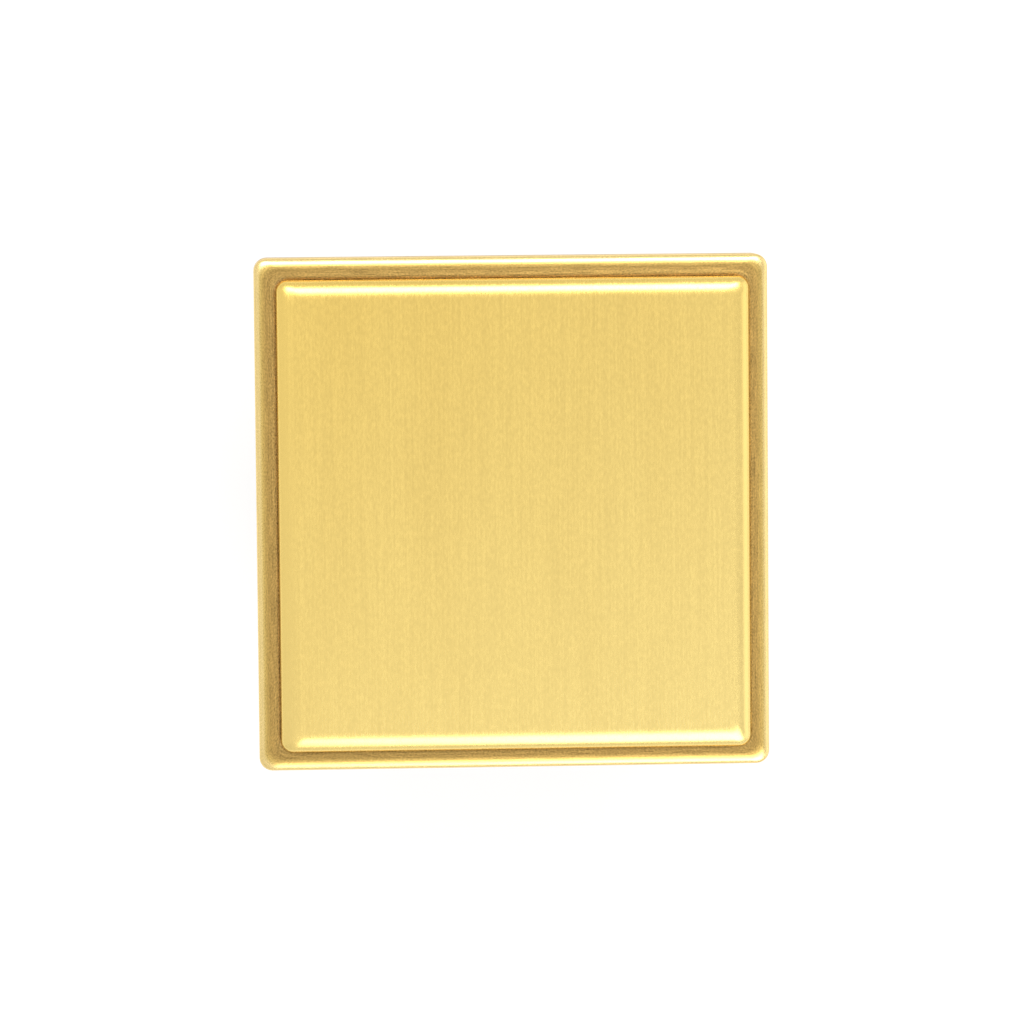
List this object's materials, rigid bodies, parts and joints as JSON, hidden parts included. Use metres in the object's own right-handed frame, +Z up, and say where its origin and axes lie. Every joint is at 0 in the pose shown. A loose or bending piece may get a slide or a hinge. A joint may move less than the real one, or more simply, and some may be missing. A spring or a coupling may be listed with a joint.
{
  "type": "square floor drain",
  "caption": "Square bathroom floor drain with a raised solid cover, a water groove round it, a lift-out strainer and odour trap core, and a round tail.",
  "frame": {"origin": "centre of the bottom face of the outlet tail, on the drain axis", "axes": "+Z up along the drain axis, out through the cover; X and Y along the sides of the square"},
  "size_m": [0.1, 0.1, 0.0628],
  "materials": {
    "satin_brass": "satin, finely brushed",
    "turned_brass": "turned",
    "stainless": "brushed",
    "black_rubber": "matt moulded",
    "core_plastic": "matt moulded",
    "bush_plastic": "matt moulded"
  },
  "bodies": {
    "drain_body": {"frame": "satin_brass", "outlet_tail": "turned_brass", "tail_gasket": "black_rubber", "pipe_seal": "black_rubber"},
    "cover": {"cover_plate": "satin_brass", "cover_foot_1": "turned_brass", "cover_foot_2": "turned_brass", "cover_foot_3": "turned_brass", "cover_foot_4": "turned_brass", "foot_pad_1": "black_rubber", "foot_pad_2": "black_rubber", "foot_pad_3": "black_rubber", "foot_pad_4": "black_rubber", "foot_screws": "stainless"},
    "strainer": {"strainer_basket": "stainless", "strainer_knob": "turned_brass", "knob_screw": "stainless"},
    "trap_core": {"core_shell": "core_plastic", "core_o_ring": "black_rubber", "core_pull_bar": "stainless", "guide_spider": "core_plastic", "guide_bush": "bush_plastic", "valve_spring": "stainless"},
    "valve": {"valve_spindle": "stainless", "spindle_clip": "stainless", "spring_cap": "bush_plastic", "seal_retainer": "stainless", "valve_seal": "black_rubber", "valve_bowl": "core_plastic", "valve_nut": "stainless"}
  },
  "joints": [
    {"name": "cover_lift", "type": "slide", "parent": "drain_body", "child": "cover", "axis": [0, 0, 1], "range_m": [0, 0.09]},
    {"name": "strainer_lift", "type": "slide", "parent": "drain_body", "child": "strainer", "axis": [0, 0, 1], "range_m": [0, 0.0675]},
    {"name": "core_lift", "type": "slide", "parent": "drain_body", "child": "trap_core", "axis": [0, 0, 1], "range_m": [0, 0.054]},
    {"name": "valve_open", "type": "slide", "parent": "trap_core", "child": "valve", "axis": [0, 0, -1], "range_m": [0, 0.007], "stiffness_N_per_m": 40, "springref_m": -0.004, "deforming": ["valve_spring"]}
  ],
  "couplings": [
    {"joint": "strainer_lift", "follows": "cover_lift", "ratio": 0.75},
    {"joint": "core_lift", "follows": "cover_lift", "ratio": 0.6}
  ]
}
